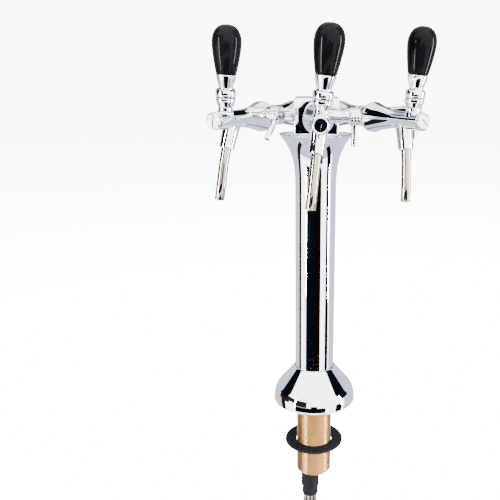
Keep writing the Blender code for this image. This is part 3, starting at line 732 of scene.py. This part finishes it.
def floor():
    mesh = bpy.data.meshes.new("floor")
    s = FLOOR_HALF
    mesh.from_pydata([(-s, -s, 0), (s, -s, 0), (s, s, 0), (-s, s, 0)], [], [(0, 1, 2, 3)])
    n = Nodes("studio_floor")
    grain = n.noise(4.0, 3.0)
    tint = n.ramp(grain, [(0.3, (0.88, 0.88, 0.89)), (0.7, (0.90, 0.90, 0.905))])
    n.join(tint, n.shader.inputs["Emission Color"])
    n.shader.inputs["Emission Strength"].default_value = FLOOR_GLOW
    mesh.materials.append(n.set(base=tint, rough=n.span(grain, 0.85, 0.95)))
    obj = bpy.data.objects.new("floor", mesh)
    bpy.context.scene.collection.objects.link(obj)
    obj.location = (0, 0, FLOOR_Z)
    obj.visible_glossy = False


STUDIO_LIGHT = 6.0
BACKDROP_LIGHT = 9.5
WHITE = (1.0, 1.0, 1.0)
CEILING = (0.50, 0.50, 0.53)
LAVENDER = (0.20, 0.21, 0.27)
NAVY = (0.0004, 0.0008, 0.0018)
BROWN = (0.0010, 0.0006, 0.0005)
GREEN = (0.0030, 0.0034, 0.0028)
SMOKE = (0.020, 0.021, 0.024)
BRONZE = (0.0060, 0.0042, 0.0030)
# azimuth from the front to the right, elevation, softness, colour
CARDS = (
    ((-181, 181), (40, 91), 8.0, CEILING),
    ((-102, 92), (-40, 91), 3.0, WHITE),
    ((-104, -86), (-60, 55), 2.0, GREEN),
    ((-54, -4), (-28, -8), 2.5, NAVY),
    ((-6, 32), (-28, -8), 2.5, BROWN),
    ((-9, 9), (-10, 1), 2.5, NAVY),
    ((-112, -73), (-8, 24), 3.0, BRONZE),
    ((-58, -20), (-8, 24), 3.0, BRONZE),
    ((-75, -56), (2, 24), 3.0, BRONZE),
    ((-30, 38), (-60, -32), 3.0, NAVY),
    ((-116, -84), (5, 50), 3.0, NAVY),
    ((62, 84), (-60, -8), 3.0, BROWN),
    ((76, 112), (3, 55), 3.0, NAVY),
    ((122, 178), (25, 42), 4.0, NAVY),
    ((-178, -122), (28, 38), 4.0, SMOKE),
    ((148, 212), (8, 22), 5.0, SMOKE),
    ((-212, -148), (8, 22), 5.0, SMOKE),
)


def studio():
    """Soft white boxes and dark flags painted round the world, over a pale room."""
    world = bpy.data.worlds.new("studio")
    bpy.context.scene.world = world
    world.use_nodes = True
    tree = world.node_tree
    tree.nodes.clear()

    def node(kind, operation=None, *values):
        made = tree.nodes.new(kind)
        if operation:
            made.operation = operation
        for socket, value in zip(made.inputs, values):
            if isinstance(value, bpy.types.NodeSocket):
                tree.links.new(value, socket)
            elif value is not None:
                socket.default_value = value
        return made.outputs[0]

    def math_node(operation, *values):
        return node("ShaderNodeMath", operation, *values)

    def inside(value, low, high, soft):
        def step(start, end):
            ramp = tree.nodes.new("ShaderNodeMapRange")
            ramp.interpolation_type = "SMOOTHSTEP"
            tree.links.new(value, ramp.inputs["Value"])
            ramp.inputs["From Min"].default_value = start
            ramp.inputs["From Max"].default_value = end
            return ramp.outputs["Result"]
        rising = step(low - soft / 2, low + soft / 2)
        falling = step(high - soft / 2, high + soft / 2)
        return math_node("SUBTRACT", rising, falling)

    coords = tree.nodes.new("ShaderNodeTexCoord")
    parts = tree.nodes.new("ShaderNodeSeparateXYZ")
    tree.links.new(coords.outputs["Generated"], parts.inputs[0])
    x, y, z = parts.outputs
    front = math_node("MULTIPLY", y, -1.0)
    turn = math_node("MULTIPLY", math_node("ARCTAN2", x, front), 180 / math.pi)
    rise = math_node("MULTIPLY", math_node("ARCSINE", z), 180 / math.pi)

    def mixed(a, b, fac):
        mix = tree.nodes.new("ShaderNodeMix")
        mix.data_type = "RGBA"
        for key, value in (("Factor_Float", fac), ("A_Color", a), ("B_Color", b)):
            socket = next(s for s in mix.inputs if s.identifier == key)
            if isinstance(value, bpy.types.NodeSocket):
                tree.links.new(value, socket)
            else:
                socket.default_value = value
        return next(s for s in mix.outputs if s.identifier == "Result_Color")

    colour = (*LAVENDER, 1.0)
    for (a0, a1), (e0, e1), soft, tint in CARDS:
        mask = math_node("MULTIPLY", inside(turn, a0, a1, soft), inside(rise, e0, e1, soft))
        colour = mixed(colour, (*tint, 1.0), mask)
    lit = tree.nodes.new("ShaderNodeBackground")
    lit.inputs["Strength"].default_value = STUDIO_LIGHT
    tree.links.new(colour, lit.inputs["Color"])
    seen = tree.nodes.new("ShaderNodeBackground")
    seen.inputs["Color"].default_value = (1.0, 1.0, 1.0, 1.0)
    seen.inputs["Strength"].default_value = BACKDROP_LIGHT
    path = tree.nodes.new("ShaderNodeLightPath")
    pick = tree.nodes.new("ShaderNodeMixShader")
    tree.links.new(path.outputs["Is Camera Ray"], pick.inputs[0])
    tree.links.new(lit.outputs[0], pick.inputs[1])
    tree.links.new(seen.outputs[0], pick.inputs[2])
    out = tree.nodes.new("ShaderNodeOutputWorld")
    tree.links.new(pick.outputs[0], out.inputs["Surface"])


def softbox(name, location, target, size, power):
    data = bpy.data.lights.new(name, "AREA")
    data.shape = "RECTANGLE"
    data.size, data.size_y = size
    data.energy = power
    obj = bpy.data.objects.new(name, data)
    bpy.context.scene.collection.objects.link(obj)
    obj.location = location
    aim = Vector(target) - Vector(location)
    obj.rotation_euler = aim.to_track_quat("-Z", "Y").to_euler()
    return obj


CAMERA_AT = (0, -0.787, 0.420)
CAMERA_DOWN = 15.45             # degrees below level


def camera():
    data = bpy.data.cameras.new("camera")
    data.sensor_width = 36.0
    data.lens = 46.8
    data.shift_x = -0.132
    data.clip_start = 0.01
    obj = bpy.data.objects.new("camera", data)
    bpy.context.scene.collection.objects.link(obj)
    pan = Matrix.Rotation(math.radians(-0.07), 4, "Z")
    tilt = Matrix.Rotation(math.radians(90 - CAMERA_DOWN), 4, "X")
    roll = Matrix.Rotation(math.radians(0.45), 4, "Z")
    obj.matrix_world = Matrix.Translation(CAMERA_AT) @ pan @ tilt @ roll
    bpy.context.scene.camera = obj


floor()
studio()
overhead = softbox("overhead", (0.3, -0.4, 1.9), (0, 0, 0.1), (2.2, 2.2), 900.0)
overhead.visible_glossy = False
for name, location in (("left_strip", (-1.29, -0.96, 0.22)), ("right_strip", (1.50, -0.25, 0.22))):
    softbox(name, location, (0, -0.2, 0.40), (0.09, 1.2), 55.0)
camera()
